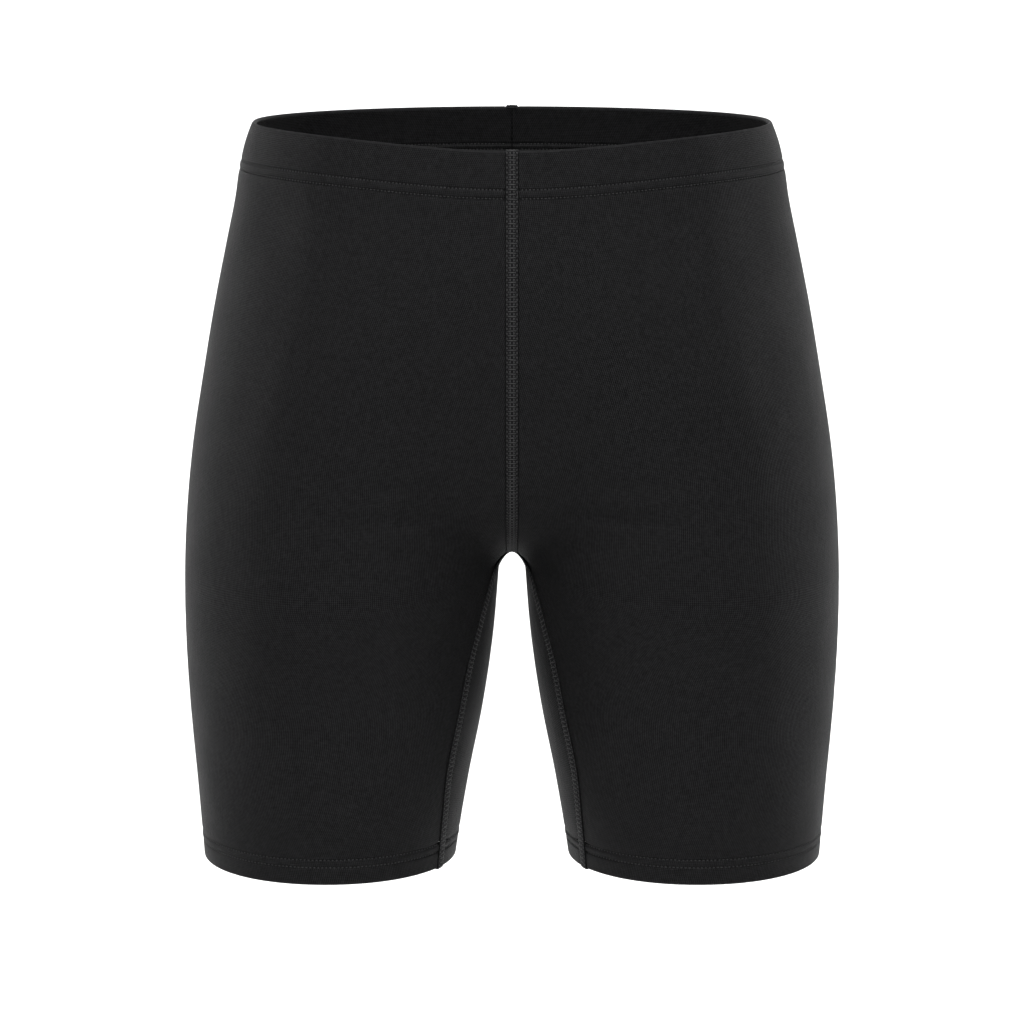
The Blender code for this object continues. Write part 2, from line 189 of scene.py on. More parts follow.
FOLD_TURNS = (25, 50, 75, 105, 130, 155)

# Slice through a flat seam, from its middle out: the share of its half width
# and the share of its height
SEAM_PROFILE = ((0, 1.0), (0.27, 1.0), (0.54, 0.98), (0.77, 0.82), (0.92, 0.48), (1.0, 0.0))
SEAM_STEP = 0.0013

# Steps of the working out
RISE_SAMPLES = 160
INSEAM_SAMPLES = 160
GUIDE_COLUMNS = 48
RELAX_ROUNDS = 40
RELAX_STEPS = 5
PROBE = 0.0002
SMALLEST = 1e-6


def smooth(keys, values, where):
    """A cubic through the points, each slope taken from its neighbours."""
    keys = np.asarray(keys, float)
    values = np.asarray(values, float)
    where = np.clip(where, keys[0], keys[-1])
    slopes = np.gradient(values, keys, axis=0, edge_order=2)
    i = np.clip(np.searchsorted(keys, where) - 1, 0, len(keys) - 2)
    step = keys[i + 1] - keys[i]
    t = (where - keys[i]) / step
    more = (1,) * (values.ndim - 1)
    t, step = t.reshape(t.shape + more), step.reshape(step.shape + more)
    return (
        (1 + 2 * t) * (1 - t) ** 2 * values[i]
        + t * (1 - t) ** 2 * step * slopes[i]
        + t**2 * (3 - 2 * t) * values[i + 1]
        + t**2 * (t - 1) * step * slopes[i + 1]
    )


def section_at(drop):
    """Every column of the level sections, at these drops."""
    keys = [row.drop for row in SECTIONS]
    found = Section(*(smooth(keys, column, drop) for column in zip(*SECTIONS)))
    return found._replace(ridge=np.maximum(found.ridge, 0))


def lengths(points):
    """How far along a line each of its points is."""
    return np.concatenate([[0], np.cumsum(np.linalg.norm(np.diff(points, axis=0), axis=1))])


def unit(vectors):
    return vectors / np.maximum(np.linalg.norm(vectors, axis=-1, keepdims=True), SMALLEST**2)


def rise_curve():
    """Points (depth, drop) close together along the rise."""
    table = np.array(RISE)
    at = lengths(table)
    return smooth(at, table, np.linspace(0, at[-1], RISE_SAMPLES))


RISE_CURVE = rise_curve()
LOWEST = int(np.argmax(RISE_CURVE[:, 1]))


def centre_depth(y, drop):
    """How deep the rise is at this drop, in front or behind. It is 0 under the crotch."""
    front, back = RISE_CURVE[: LOWEST + 1], RISE_CURVE[LOWEST:][::-1]
    ahead = np.interp(drop, front[:, 1], -front[:, 0], right=0)
    behind = np.interp(drop, back[:, 1], back[:, 0], right=0)
    return np.where(y < 0, ahead, behind)


def rise_distance(y, drop):
    """Distance from the rise curve in side view, above 0 outside the garment."""
    start, end = RISE_CURVE[:-1], RISE_CURVE[1:]
    run = end - start
    points = np.stack([y, drop], axis=-1)[..., None, :]
    share = ((points - start) * run).sum(-1) / (run**2).sum(-1)
    offset = points - (start + np.clip(share, 0, 1)[..., None] * run)
    away = np.linalg.norm(offset, axis=-1)
    nearest = away.argmin(-1)[..., None]
    turn = run[:, 0] * offset[..., 1] - run[:, 1] * offset[..., 0]
    side = np.sign(np.take_along_axis(turn, nearest, -1))
    return (np.take_along_axis(away, nearest, -1) * side)[..., 0]


def pressed(rows, points):
    """How far these creases press the cloth in, at points (across, depth, drop)."""
    x, y, drop = points[..., 0], points[..., 1], points[..., 2]
    total = np.zeros_like(x)
    for c in rows:
        from_middle = x - c.out
        from_line = drop - c.drop - c.lean * from_middle
        hollow = np.exp(-((from_middle / c.reach) ** 2) - (from_line / c.spread) ** 2)
        total += np.where(y * c.face > 0, c.depth * hollow, 0)
    return total


def form(points):
    """Distance outside the worn shape of the left half, at points (across, depth, drop)."""
    x, y, drop = points[..., 0], points[..., 1], points[..., 2]
    s = section_at(drop)
    across = x - s.ridge
    inner = np.maximum(s.ridge - s.gap, SMALLEST)
    reach = np.where(across > 0, s.outer - s.ridge, inner)
    depth = np.where(y < 0, s.front, s.back)
    size = (np.abs(across) / reach) ** s.fullness + (np.abs(y) / depth) ** s.fullness
    from_axis = np.hypot(across, y)
    leg = from_axis * (1 - size ** (-1 / s.fullness))
    rise = rise_distance(y, drop)
    valley = np.maximum(depth - centre_depth(y, drop), SMALLEST)
    width = np.minimum(CROTCH_BLEND, VALLEY_BLEND * valley)
    near = np.maximum(width - np.abs(leg - rise), 0) / width
    joined = np.minimum(leg, rise) - near**2 * width / 4
    return np.where(across > 0, leg, joined) + pressed(CREASES, points)


def slope(points):
    """Which way the form grows fastest, not made to length 1."""
    steps = PROBE * np.eye(3)
    return np.stack([(form(points + s) - form(points - s)) / (2 * PROBE) for s in steps], axis=-1)


def normals(points):
    return unit(slope(points))


def settle(points, rounds=3):
    """The points moved straight onto the form, kept clear of the middle."""
    for _ in range(rounds):
        away = slope(points)
        points = points - form(points)[..., None] * away / (away**2).sum(-1, keepdims=True)
        points[..., 0] = np.maximum(points[..., 0], SEAM_GAP / 2)
    return points


def between(inside, outside, rounds=30):
    """Where the form is crossed between points inside it and points outside."""
    for _ in range(rounds):
        middle = (inside + outside) / 2
        out = (form(middle) > 0)[..., None]
        outside = np.where(out, middle, outside)
        inside = np.where(out, inside, middle)
    return inside


def around(angle, drop):
    """Points on the form at an angle about the leg, from the front by the outside."""
    angle, drop = np.broadcast_arrays(angle, drop)
    ridge = section_at(drop).ridge
    start = np.stack([ridge, np.zeros_like(ridge), drop], axis=-1)
    aim = np.stack([np.sin(angle), -np.cos(angle), np.zeros_like(angle)], axis=-1)
    inward = np.maximum(-aim[..., 0], SMALLEST)
    far = np.minimum(0.3, np.where(aim[..., 0] < 0, (ridge - SEAM_GAP / 2) / inward, 0.3))
    return between(start + 0.01 * far[..., None] * aim, start + far[..., None] * aim)


def angle_of(points):
    """The angle about the leg at which the points lie, as around takes it."""
    return np.arctan2(points[..., 0] - section_at(points[..., 2]).ridge, -points[..., 1])


def waist_edge(angle):
    """Drop of the waist edge: level at the back and dipped at the front."""
    inset = 1 - np.sin(angle) ** 2
    front = WAIST_EDGE_FRONT - WAIST_EDGE_SIDE
    back = WAIST_EDGE_BACK - WAIST_EDGE_SIDE
    dip = np.where(np.cos(angle) > 0, front * inset**FRONT_DIP_POWER, back * inset)
    return WAIST_EDGE_SIDE + dip


def hem_edge(angle, above=0.0):
    """Points that lie on the form at this distance above the plane of the hem."""
    drop = np.full(np.shape(angle), HEM_DROP - above)
    for _ in range(4):
        drop = HEM_DROP - above - math.tan(HEM_TILT) * around(angle, drop)[..., 1]
    return around(angle, drop)


def along(points, where):
    """Points at these distances along a line."""
    at = lengths(points)
    return np.column_stack([np.interp(where, at, column) for column in points.T])


def spread(count, power):
    """Numbers from 0 to 1 that start close together."""
    return np.linspace(0, 1, count + 1) ** power


def rise_edges():
    """The panel's front and back edges, each from the waist down to the crotch."""
    run = np.gradient(RISE_CURVE, axis=0)
    out = np.column_stack([-run[:, 1], run[:, 0]]) / np.linalg.norm(run, axis=1)[:, None]
    middle = np.full(RISE_SAMPLES, SEAM_GAP / 2)
    start = np.column_stack([middle, RISE_CURVE - 0.004 * out])
    end = np.column_stack([middle, RISE_CURVE + 0.010 * out])
    edge = between(start, end)
    lowest = int(np.argmax(edge[:, 2]))
    return edge[: lowest + 1], edge[lowest:][::-1]


def inseam_line(crotch):
    """Points down the inside leg seam, from the crotch to below the hem."""
    rows = np.array(INSEAM)
    below = rows[-1, 0] * spread(INSEAM_SAMPLES, 2)
    y = crotch[1] - smooth(rows[:, 0], rows[:, 1], below)
    drop = crotch[2] + below
    outside = np.column_stack([np.zeros_like(y), y, drop])
    inside = np.column_stack([section_at(drop).ridge, y, drop])
    return np.vstack([crotch, between(inside, outside)[1:]])


def panel_edges():
    """The panel's front and back edges, from under the waistband to the hem."""
    front, back = rise_edges()
    seam = inseam_line(front[-1])
    run = np.gradient(seam, axis=0)
    beside = np.cross(normals(seam), run)
    beside *= SEAM_GAP / 2 / np.linalg.norm(beside, axis=1)[:, None]
    if beside[-1, 1] > 0:
        beside = -beside
    edges = []
    for rise, leg in ((front, seam + beside), (back, seam - beside)):
        leg = settle(leg[1:])
        above_hem = HEM_DROP - HEM_DEPTH - SEAM_GAP / 2 - math.tan(HEM_TILT) * leg[:, 1]
        leg = leg[leg[:, 2] < above_hem]
        under_band = waist_edge(angle_of(rise[0])) + BAND_DEPTH + SEAM_GAP / 2
        rise = rise[rise[:, 2] > under_band]
        rise_at = (1 - spread(RISE_ROWS, RISE_ROW_POWER)[::-1]) * lengths(rise)[-1]
        leg = np.vstack([rise[-1], leg])
        leg_at = spread(LEG_ROWS, LEG_ROW_POWER)[1:] * lengths(leg)[-1]
        edges.append(np.vstack([along(rise, rise_at), along(leg, leg_at)]))
    return edges


def guide_grid():
    """A grid over the whole panel, its points spread by relaxing them."""
    front, back = panel_edges()
    across = np.linspace(0, 1, GUIDE_COLUMNS + 1)
    top_angle = math.pi * across
    top = around(top_angle, waist_edge(top_angle) + BAND_DEPTH + SEAM_GAP / 2)
    foot_angle = angle_of(front[-1]) + 2 * math.pi * across
    foot = hem_edge(foot_angle, HEM_DEPTH + SEAM_GAP / 2)
    front_angle = angle_of(front)
    back_angle = angle_of(back) % (2 * math.pi)
    angles = front_angle[:, None] + (back_angle - front_angle)[:, None] * across
    drops = front[:, 2:] + (back - front)[:, 2:] * across
    grid = around(angles, drops)
    grid[0], grid[-1] = top, foot
    grid[:, 0], grid[:, -1] = front, back
    for _ in range(RELAX_ROUNDS):
        for _ in range(RELAX_STEPS):
            grid[1:-1, 1:-1] = (
                grid[:-2, 1:-1] + grid[2:, 1:-1] + grid[1:-1, :-2] + grid[1:-1, 2:]
            ) / 4
        grid[1:-1, 1:-1] = settle(grid[1:-1, 1:-1], 1)
    return grid


def finer_rows(grid):
    """The grid with more rows. None is carried smoothly across the crotch's corner."""
    halves = []
    for part in (grid[: RISE_ROWS + 1], grid[RISE_ROWS:]):
        steps = (len(part) - 1) * ROWS_BETWEEN
        halves.append(smooth(np.arange(len(part)), part, np.linspace(0, len(part) - 1, steps + 1)))
    return np.vstack([halves[0], halves[1][1:]])


def panel_grid():
    """The panel's points, with columns that keep their distance from the seams."""
    near = np.array(NEAR_SEAM) * MM
    rows = []
    for row in finer_rows(guide_grid()):
        at = lengths(row)
        middle = np.linspace(near[-1], at[-1] - near[-1], EVEN_COLUMNS + 1)[1:-1]
        rows.append(smooth(at, row, np.concatenate([near, middle, at[-1] - near[::-1]])))
    grid = np.array(rows)
    grid[:, 1:-1] = settle(grid[:, 1:-1])
    return grid


Cloth = namedtuple("Cloth", "points facing band_rows panel_rows hem_rows seams")


def worn_cloth():
    """The whole outer face of the left half: waistband, panel and hem, one above another."""
    panel = panel_grid()
    top, foot = angle_of(panel[0]), angle_of(panel[-1])
    settings = bpy.context.scene.shorts_cloth
    band_fold = settings.band_thickness / 2 / MM
    hem_fold = settings.hem_thickness / 2 / MM
    band = np.array([around(top, waist_edge(top) + d * MM) for d in (band_fold, *BAND_ROWS)])
    band[:, [0, -1], 0] = SEAM_GAP / 2
    hem = np.array([hem_edge(foot, d * MM) for d in (hem_fold, *HEM_ROWS)[::-1]])
    points = np.vstack([band, panel, hem])
    front, back = rise_edges()
    seam = np.vstack([front[-1:], inseam_line(front[-1])[1:]])
    starts = np.cumsum([0, len(band), len(panel), len(hem)])
    rows = [slice(a, b) for a, b in zip(starts, starts[1:])]
    return Cloth(points, normals(points), *rows, (front, back, seam))


# From the form to pieces of cloth


def placed(points, leg=LEFT):
    """Points on the left half in the frame's own axes, mirrored for the right half."""
    return points * np.array([leg, 1, -1]) + np.array([0, 0, BAND_DEPTH / 2])


def turned(directions, leg=LEFT):
    return directions * np.array([leg, 1, -1])


def grooves(distances, rows):
    """Depth at these distances from a folded edge of the grooves that sewing pulls in."""
    s = bpy.context.scene.shorts_cloth
    first, second = (row * MM for row in rows)
    total = sum(np.exp(-(((distances - row) / s.groove_half_width) ** 2)) for row in (first, second))
    swell = np.exp(-(((distances - (first + second) / 2) / (2 * s.groove_half_width)) ** 2))
    return s.groove_depth * total - s.swell_between * swell


def beds(cloth):
    """Depth of the bed that each flat seam lies in, over the whole face."""
    s = bpy.context.scene.shorts_cloth
    half = bpy.context.scene.shorts_sewing.seam_width / 2
    tree = mathutils.kdtree.KDTree(sum(len(line) for line in cloth.seams) * 8)
    count = 0
    for line in cloth.seams:
        for point in along(line, np.linspace(0, lengths(line)[-1], len(line) * 8)):
            tree.insert(point, count)
            count += 1
    tree.balance()
    near = len(NEAR_SEAM)
    depth = np.zeros(cloth.points.shape[:2])
    for columns in (slice(0, near), slice(-near, None)):
        part = cloth.points[:, columns]
        away = np.array([[tree.find(point)[2] for point in row] for row in part])
        inside = np.clip((half + s.bed_margin - away) / s.bed_margin, 0, 1)
        depth[:, columns] = s.bed_depth * inside**2 * (3 - 2 * inside)
    return depth


Layers = namedtuple("Layers", "outer inner facing from_waist from_side")


def layers(cloth, leg):
    """The outer and inner faces of one half's cloth, and where each point is on its flat cut."""
    s = bpy.context.scene.shorts_cloth
    sewing = bpy.context.scene.shorts_sewing
    band_at = np.array((s.band_thickness / 2 / MM, *BAND_ROWS)) * MM
    hem_at = np.array((s.hem_thickness / 2 / MM, *HEM_ROWS)[::-1]) * MM
    panel = cloth.points[cloth.panel_rows]
    down = np.linalg.norm(np.diff(panel, axis=0), axis=-1).mean(axis=1)
    panel_at = np.concatenate([[0], np.cumsum(down)])
    from_waist = np.concatenate([band_at, BAND_DEPTH + SEAM_GAP / 2 + panel_at])
    foot = from_waist[-1] + HEM_DEPTH + SEAM_GAP / 2
    from_waist = np.concatenate([from_waist, foot - hem_at])
    from_foot = foot - from_waist
    outside = grooves(from_waist, sewing.band_rows) + grooves(from_foot, sewing.hem_rows)
    inside = grooves(from_waist, sewing.band_rows_inside) + grooves(from_foot, sewing.hem_rows_inside)
    thick = np.full(len(from_waist), s.thickness)
    thick[cloth.band_rows], thick[cloth.hem_rows] = s.band_thickness, s.hem_thickness
    inside[cloth.panel_rows] = 0
    sunk = outside[:, None] + WORN["beds"]
    sunk += pressed([row for row in HOLLOWS if row.leg == leg], cloth.points)
    outer = cloth.points - sunk[..., None] * cloth.facing
    inner = cloth.points - (thick - inside)[:, None, None] * cloth.facing
    rise_rows = cloth.panel_rows.start + RISE_ROWS * ROWS_BETWEEN
    for face in (outer, inner):
        face[:rise_rows, [0, -1], 0] = SEAM_GAP / 2
        face[:rise_rows, :, 0] = np.maximum(face[:rise_rows, :, 0], SEAM_GAP / 2)
    across = np.linalg.norm(np.diff(cloth.points, axis=1), axis=-1)
    from_side = np.concatenate([np.zeros((len(across), 1)), np.cumsum(across, axis=1)], axis=1)
    from_side -= from_side[:, -1:] / 2
    return Layers(outer, inner, cloth.facing, from_waist, from_side)


def folded(outer, inner, onward):
    """Points round the fold that joins two faces at their first row."""
    middle, half = (outer + inner) / 2, (outer - inner) / 2
    half_length = np.linalg.norm(half, axis=-1, keepdims=True)
    along_half = half / half_length
    onward = unit(onward - (onward * along_half).sum(-1, keepdims=True) * along_half)
    return np.array(
        [
            middle + math.cos(turn) * half + math.sin(turn) * half_length * onward
            for turn in np.radians(FOLD_TURNS)
        ]
    )


def make_mesh(name, points, faces, flat=None):
    """A mesh object at the origin, its faces turned outwards."""
    corners = points[faces]
    first = corners[:, 0]
    volume = 0.0
    for i in range(1, faces.shape[1] - 1):
        volume += (first * np.cross(corners[:, i], corners[:, i + 1])).sum()
    if volume < 0:
        faces = faces[:, ::-1]
    mesh = bpy.data.meshes.new(name)
    mesh.from_pydata(points.tolist(), [], faces.tolist())
    if flat is not None:
        layer = mesh.uv_layers.new(name="flat cut")
        layer.data.foreach_set("uv", flat[faces.ravel()].ravel())
    mesh.validate()
    piece = bpy.data.objects.new(name, mesh)
    bpy.context.scene.collection.objects.link(piece)
    return piece


def make_wall(name, rings, flat, leg=LEFT):
    """A closed wall through rings of points, each ring a slice through the cloth."""
    count, round_it = rings.shape[:2]
    index = np.arange(count * round_it).reshape(count, round_it)
    after = np.roll(index, -1, axis=1)
    sides = np.stack([index[:-1], after[:-1], after[1:], index[1:]], axis=-1).reshape(-1, 4)
    half = np.arange(round_it // 2 - 1)
    cap = np.stack([half, half + 1, round_it - 2 - half, round_it - 1 - half], axis=-1)
    ends = np.vstack([index[0][cap][:, ::-1], index[-1][cap]])
    faces = np.vstack([sides, ends])
    return make_mesh(name, placed(rings.reshape(-1, 3), leg), faces, flat.reshape(-1, 2))


def flat_cut(cloth_layers, rows, folds_at=None):
    """Where each point of a ring lies on the flat cut, the inner face turned over."""
    across = cloth_layers.from_side[rows]
    down = np.broadcast_to(cloth_layers.from_waist[rows][:, None], across.shape)
    face = np.stack([across, down], axis=-1)
    if folds_at is None:
        return np.concatenate([face, face[::-1]]).transpose(1, 0, 2)
    if folds_at == 0:
        face = face[::-1]
    edge = face[-1]
    turns = np.repeat(edge[None], len(FOLD_TURNS), axis=0)
    behind = face[::-1].copy()
    behind[..., 1] = 2 * edge[..., 1] - behind[..., 1]
    return np.concatenate([face, turns, behind]).transpose(1, 0, 2)


Seam = namedtuple("Seam", "base facing across run offsets")


def seam_face(line, mirror, top_fold=None, foot_fold=None):
    """The cloth under a flat seam: points over its width, all the way along a line.

    Where the seam runs over a folded edge, its last rows turn round the fold.
    """
    sewing = bpy.context.scene.shorts_sewing
    half = np.array([share for share, _ in SEAM_PROFILE]) * sewing.seam_width / 2
    run = unit(np.gradient(line, axis=0))
    out = normals(line)
    across = unit(np.cross(out, run))
    if mirror:
        out[:, 0] = 0
        out, across = unit(out), np.tile([1.0, 0, 0], (len(line), 1))
        base = settle(line[:, None] + half[:, None] * across[:, None])
        base[:, 0, 0] = 0
        facing = normals(base)
        facing[:, 0] = out
        flip = np.array([-1, 1, 1])
        base = np.concatenate([flip * base[:, :0:-1], base], axis=1)
        facing = np.concatenate([flip * facing[:, :0:-1], facing], axis=1)
        offsets = np.concatenate([-half[:0:-1], half])
    else:
        offsets = np.concatenate([-half[:0:-1], half])
        base = settle(line[:, None] + offsets[:, None] * across[:, None])
        facing = normals(base)
    for fold, row in ((top_fold, 0), (foot_fold, -1)):
        if fold is None:
            continue
        onward = run[row] if row else -run[row]
        centre = base[row] - fold * facing[row]
        turns = np.radians(FOLD_TURNS)
        faces = [math.cos(t) * facing[row] + math.sin(t) * onward for t in turns]
        spots = [centre + fold * face for face in faces]
        ways = [math.cos(t) * onward - math.sin(t) * facing[row].mean(axis=0) for t in turns]
        if row == 0:
            ways = [-way for way in ways]
            faces, spots, ways = faces[::-1], spots[::-1], ways[::-1]
        order = (lambda new, old: [new, old]) if row == 0 else (lambda new, old: [old, new])
        base = np.concatenate(order(np.array(spots), base))
        facing = np.concatenate(order(np.array(faces), facing))
        run = np.concatenate(order(unit(np.array(ways)), run))
        across = np.concatenate(order(np.tile(across[row], (len(turns), 1)), across))
    return Seam(base, facing, across, run, offsets)


def rise_line(edge):
    """Points down the rise from the fold of the waistband to the crotch."""
    s = bpy.context.scene.shorts_cloth
    start_drop = waist_edge(angle_of(edge[0])) + s.band_thickness / 2
    at = lengths(edge)
    start = np.interp(start_drop, edge[:, 2], at)
    line = along(edge, np.linspace(start, at[-1], int((at[-1] - start) / SEAM_STEP) + 1))
    line[:, 0] = SEAM_GAP / 2
    return line


def inside_leg_line(seam):
    """Points down the inside of the leg, from beside the rise seam to the fold of the hem."""
    s = bpy.context.scene.shorts_cloth
    sewing = bpy.context.scene.shorts_sewing
    at = lengths(seam)
    above = HEM_DROP - math.tan(HEM_TILT) * seam[:, 1] - seam[:, 2]
    end = np.interp(-s.hem_thickness / 2, -above, at)
    start = sewing.seam_width / 2 + SEAM_GAP
    return along(seam, np.linspace(start, end, int((end - start) / SEAM_STEP) + 1))


def heights():
    """How far a flat seam stands proud of the cloth, across its width."""
    high = bpy.context.scene.shorts_sewing.seam_height
    half = [share * high for _, share in SEAM_PROFILE]
    return np.array([*half[:0:-1], *half])


def make_strip(name, seam, leg=LEFT):
    """The padded strip of a flat seam, rounded at its edges."""
    s = bpy.context.scene.shorts_cloth
    top = seam.base + heights()[:, None] * seam.facing
    foot = seam.base - (s.bed_depth - s.seam_clearance) * seam.facing
    rings = np.concatenate([top, foot[:, ::-1]], axis=1)
    down = lengths(seam.base[:, len(seam.offsets) // 2])
    flat = np.stack(np.broadcast_arrays(seam.offsets, down[:, None]), axis=-1)
    flat = np.concatenate([flat, flat[:, ::-1]], axis=1)
    return make_wall(name, rings, flat, leg)


# Sewing

Spots = namedtuple("Spots", "where run out")


def spots_along(points, out, pitch, margin=0.0, shift=0.0, run=None):
    """Places one pitch apart along a line, with the way it runs and the way out."""
    at = lengths(points)
    count = max(int((at[-1] - 2 * margin) / pitch + SMALLEST), 1)
    spare = at[-1] - 2 * margin - count * pitch
    where = margin + spare / 2 + (np.arange(count) + 0.5 + shift) * pitch
    run = np.gradient(points, axis=0) if run is None else run
    take = [np.column_stack([np.interp(where, at, c) for c in v.T]) for v in (points, run, out)]
    return Spots(take[0], unit(take[1]), unit(take[2]))


def together(*several):
    return Spots(*(np.vstack(parts) for parts in zip(*several)))


def thread_shape(length, width, height, sink, rings):
    """One stretch of thread modelled as an oval bead, its ends drawn into the cloth."""
    bpy.ops.object.select_all(action="DESELECT")
    bpy.ops.mesh.primitive_uv_sphere_add(segments=6, ring_count=rings, radius=0.5)
    bead = bpy.context.active_object
    bpy.ops.object.mode_set(mode="EDIT")
    bpy.ops.mesh.select_all(action="SELECT")
    quarter = math.pi / 2
    bpy.ops.transform.rotate(value=quarter, orient_axis="Y", center_override=(0, 0, 0))
    bpy.ops.transform.resize(value=(length, width, height))
    bpy.ops.mesh.select_all(action="DESELECT")
    bpy.ops.object.mode_set(mode="OBJECT")
    for vertex in bead.data.vertices:
        vertex.select = abs(vertex.co.x) > 0.3 * length
    bpy.ops.object.mode_set(mode="EDIT")
    bpy.ops.transform.translate(value=(0, 0, -sink))
    bpy.ops.object.mode_set(mode="OBJECT")
    return bead


def sew(name, bead, spots, leg=LEFT, turn=0.0):
    """Copies of a thread's bead at these places, joined in one mesh, none quite alike."""
    shape = np.array([vertex.co for vertex in bead.data.vertices])
    faces = [list(face.vertices) for face in bead.data.polygons]
    chance = np.random.default_rng(len(spots.where))
    where, run, out = placed(spots.where, leg), turned(spots.run, leg), turned(spots.out, leg)
    across = unit(np.cross(out, run))
    run = np.cross(across, out)
    turn = turn + chance.normal(0, 0.05, len(where))
    ahead = np.cos(turn)[:, None] * run + np.sin(turn)[:, None] * across
    beside = np.cross(out, ahead)
    size = 1 + chance.normal(0, 0.05, (len(where), 1, 3))
    basis = np.stack([ahead, beside, out], axis=1)
    points = where[:, None] + (shape * size) @ basis
    mesh = bpy.data.meshes.new(name)
    ordered = [[i + step * len(shape) for i in face] for step in range(len(where)) for face in faces]
    mesh.from_pydata(points.reshape(-1, 3).tolist(), [], ordered)
    mesh.shade_smooth()
    piece = bpy.data.objects.new(name, mesh)
    bpy.context.scene.collection.objects.link(piece)
    return piece


def put_away(*helpers):
    for helper in helpers:
        bpy.data.objects.remove(helper, do_unlink=True)


# Materials


def linear(hex_colour):
    """An sRGB hex colour as the linear RGB that a shader takes."""
    parts = [int(hex_colour[i : i + 2], 16) / 255 for i in (1, 3, 5)]
    return [p / 12.92 if p <= 0.04045 else ((p + 0.055) / 1.055) ** 2.4 for p in parts]


def add_node(tree, kind, values=None, links=None, **settings):
    """A new node, with its settings, the values of its sockets and what is linked to them."""
    node = tree.nodes.new(kind)
    for name, value in settings.items():
        setattr(node, name, value)
    for socket, value in (values or {}).items():
        node.inputs[socket].default_value = value
    for socket, source in (links or {}).items():
        tree.links.new(source, node.inputs[socket])
    return node


def new_material(name):
    material = bpy.data.materials.new(name)
    material.use_nodes = True
    return material, material.node_tree, material.node_tree.nodes["Principled BSDF"]


def knit_material(name):
    """Warp knit of bright nylon and elastane: matt, with fine lengthwise ribs that catch
    the light at a slant, so the sides of the body shine softly."""
    s = bpy.context.scene.shorts_finish
    material, tree, shader = new_material(name)
    flat = add_node(tree, "ShaderNodeUVMap", uv_map="flat cut")
    part = add_node(tree, "ShaderNodeSeparateXYZ", links={0: flat.outputs[0]})
    wale = add_node(
        tree, "ShaderNodeMath", {1: 1 / s.wale_spacing}, {0: part.outputs[0]}, operation="MULTIPLY"
    )
    rib = add_node(tree, "ShaderNodeMath", {1: 0.5}, {0: wale.outputs[0]}, operation="PINGPONG")
    course = add_node(
        tree, "ShaderNodeMath", {1: 1 / s.course_spacing}, {0: part.outputs[1]}, operation="MULTIPLY"
    )
    slanted = add_node(
        tree, "ShaderNodeMath", links={0: course.outputs[0], 1: rib.outputs[0]}, operation="ADD"
    )
    loop = add_node(tree, "ShaderNodeMath", {1: 0.5}, {0: slanted.outputs[0]}, operation="PINGPONG")
    height = add_node(
        tree,
        "ShaderNodeMath",
        {1: 0.8},
        {0: loop.outputs[0], 2: rib.outputs[0]},
        operation="MULTIPLY_ADD",
    )
    place = add_node(tree, "ShaderNodeTexCoord")
    yarn = add_node(
        tree,
        "ShaderNodeTexNoise",
        {"Scale": 1 / (2.2 * MM), "Detail": 3.0},
        {"Vector": place.outputs["Object"]},
    )
    wear = add_node(
        tree,
        "ShaderNodeTexNoise",
        {"Scale": 1 / (35 * MM), "Detail": 2.0},
        {"Vector": place.outputs["Object"]},
    )
    uneven = add_node(
        tree,
        "ShaderNodeMath",
        {1: 0.5},
        {0: yarn.outputs["Fac"], 2: height.outputs[0]},
        operation="MULTIPLY_ADD",
    )
    bump = add_node(
        tree,
        "ShaderNodeBump",
        {"Strength": s.knit_relief, "Distance": 0.25 * MM},
        {"Height": uneven.outputs[0]},
    )
    # Painted shade: the colour goes from the knit's black to a near-black painted hollow shade where
    # the rib and loop relief is low, the same relief the bump uses. The yarn noise mixed in adds a
    # real random tone.
    shade = add_node(
        tree,
        "ShaderNodeMapRange",
        {"From Min": 0.45, "From Max": 1.1, "To Min": 0.0, "To Max": 1.0},
        {"Value": uneven.outputs[0]},
    )
    colour = add_node(
        tree,
        "ShaderNodeMix",
        {6: (*s.painted_hollow_shade, 1), 7: (*s.knit_colour, 1)},
        {0: shade.outputs[0]},
        data_type="RGBA",
    )
    rough = add_node(
        tree,
        "ShaderNodeMapRange",
        {"From Min": 0.3, "From Max": 0.7, "To Min": s.roughness - 0.04, "To Max": s.roughness + 0.04},
        {"Value": wear.outputs["Fac"]},
    )
    tree.links.new(colour.outputs[2], shader.inputs["Base Color"])
    tree.links.new(rough.outputs[0], shader.inputs["Roughness"])
    tree.links.new(bump.outputs[0], shader.inputs["Normal"])
    shader.inputs["IOR"].default_value = 1.5
    shader.inputs["Specular IOR Level"].default_value = s.gloss
    shader.inputs["Sheen Weight"].default_value = s.sheen
    shader.inputs["Sheen Roughness"].default_value = s.sheen_roughness
    shader.inputs["Sheen Tint"].default_value = (1, 1, 1, 1)
    return material


